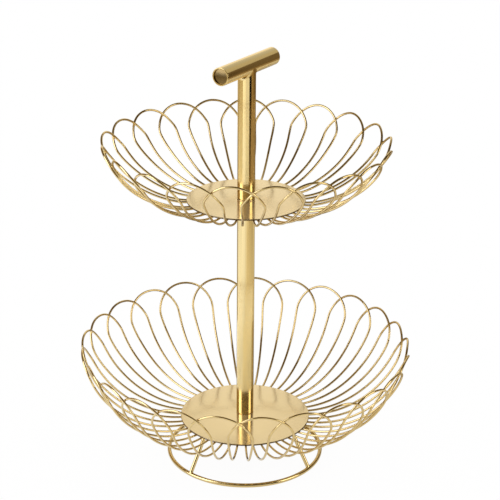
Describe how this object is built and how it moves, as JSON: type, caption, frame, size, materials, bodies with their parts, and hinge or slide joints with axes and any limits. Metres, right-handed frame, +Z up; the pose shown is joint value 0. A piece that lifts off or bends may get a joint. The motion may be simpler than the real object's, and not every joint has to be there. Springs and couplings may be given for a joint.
{
  "type": "tiered wire basket",
  "caption": "Tiered round basket of overlapping bent wire petals on a screwed centre post, with a ring base and a T handle, for fruit or small things.",
  "frame": {"origin": "on the surface it stands on, under the middle of the post", "axes": "+Z up along the post; -Y is the side that faces the viewer"},
  "size_m": [0.3038, 0.3038, 0.3822],
  "materials": {
    "petal_wire": "polished",
    "base_wire": "polished",
    "plate": "satin",
    "lower_tube": "satin",
    "upper_tube": "polished",
    "end_cap": "satin",
    "insert": "satin",
    "fastener": "satin"
  },
  "bodies": {
    "lower_stage": {"base_ring": "base_wire", "base_legs": "base_wire", "lower_plate": "plate", "lower_post": "lower_tube", "lower_post_inserts": "insert", "base_screw": "fastener", "joint_stud": "fastener", "lower_petal_01": "petal_wire", "lower_petal_02": "petal_wire", "lower_petal_03": "petal_wire", "lower_petal_04": "petal_wire", "lower_petal_05": "petal_wire", "lower_petal_06": "petal_wire", "lower_petal_07": "petal_wire", "lower_petal_08": "petal_wire", "lower_petal_09": "petal_wire", "lower_petal_10": "petal_wire", "lower_petal_11": "petal_wire", "lower_petal_12": "petal_wire", "lower_petal_13": "petal_wire", "lower_petal_14": "petal_wire", "lower_petal_15": "petal_wire", "lower_petal_16": "petal_wire", "lower_petal_17": "petal_wire", "lower_petal_18": "petal_wire", "lower_petal_19": "petal_wire", "lower_petal_20": "petal_wire", "lower_petal_21": "petal_wire", "lower_petal_22": "petal_wire", "lower_petal_23": "petal_wire", "lower_petal_24": "petal_wire", "lower_petal_25": "petal_wire"},
    "upper_tray": {"upper_plate": "plate", "upper_petal_01": "petal_wire", "upper_petal_02": "petal_wire", "upper_petal_03": "petal_wire", "upper_petal_04": "petal_wire", "upper_petal_05": "petal_wire", "upper_petal_06": "petal_wire", "upper_petal_07": "petal_wire", "upper_petal_08": "petal_wire", "upper_petal_09": "petal_wire", "upper_petal_10": "petal_wire", "upper_petal_11": "petal_wire", "upper_petal_12": "petal_wire", "upper_petal_13": "petal_wire", "upper_petal_14": "petal_wire", "upper_petal_15": "petal_wire", "upper_petal_16": "petal_wire", "upper_petal_17": "petal_wire", "upper_petal_18": "petal_wire", "upper_petal_19": "petal_wire", "upper_petal_20": "petal_wire", "upper_petal_21": "petal_wire"},
    "washer": {"post_washer": "fastener"},
    "handle": {"upper_post": "upper_tube", "upper_post_insert": "insert", "handle_bar": "upper_tube", "handle_end_caps": "end_cap"}
  },
  "joints": [
    {"name": "tray_swivel", "type": "hinge", "parent": "lower_stage", "child": "upper_tray", "pos_m": [0, 0, 0.2525], "axis": [0, 0, 1], "continuous": true},
    {"name": "washer_lift", "type": "slide", "parent": "lower_stage", "child": "washer", "axis": [0, 0, 1], "range_m": [0, 0.0076]},
    {"name": "handle_turn", "type": "hinge", "parent": "washer", "child": "handle", "pos_m": [0, 0, 0.2537], "axis": [0, 0, 1], "range_deg": [0, 2160]}
  ],
  "couplings": [
    {"joint": "washer_lift", "follows": "handle_turn", "m_per_rad": 0.00019894}
  ]
}
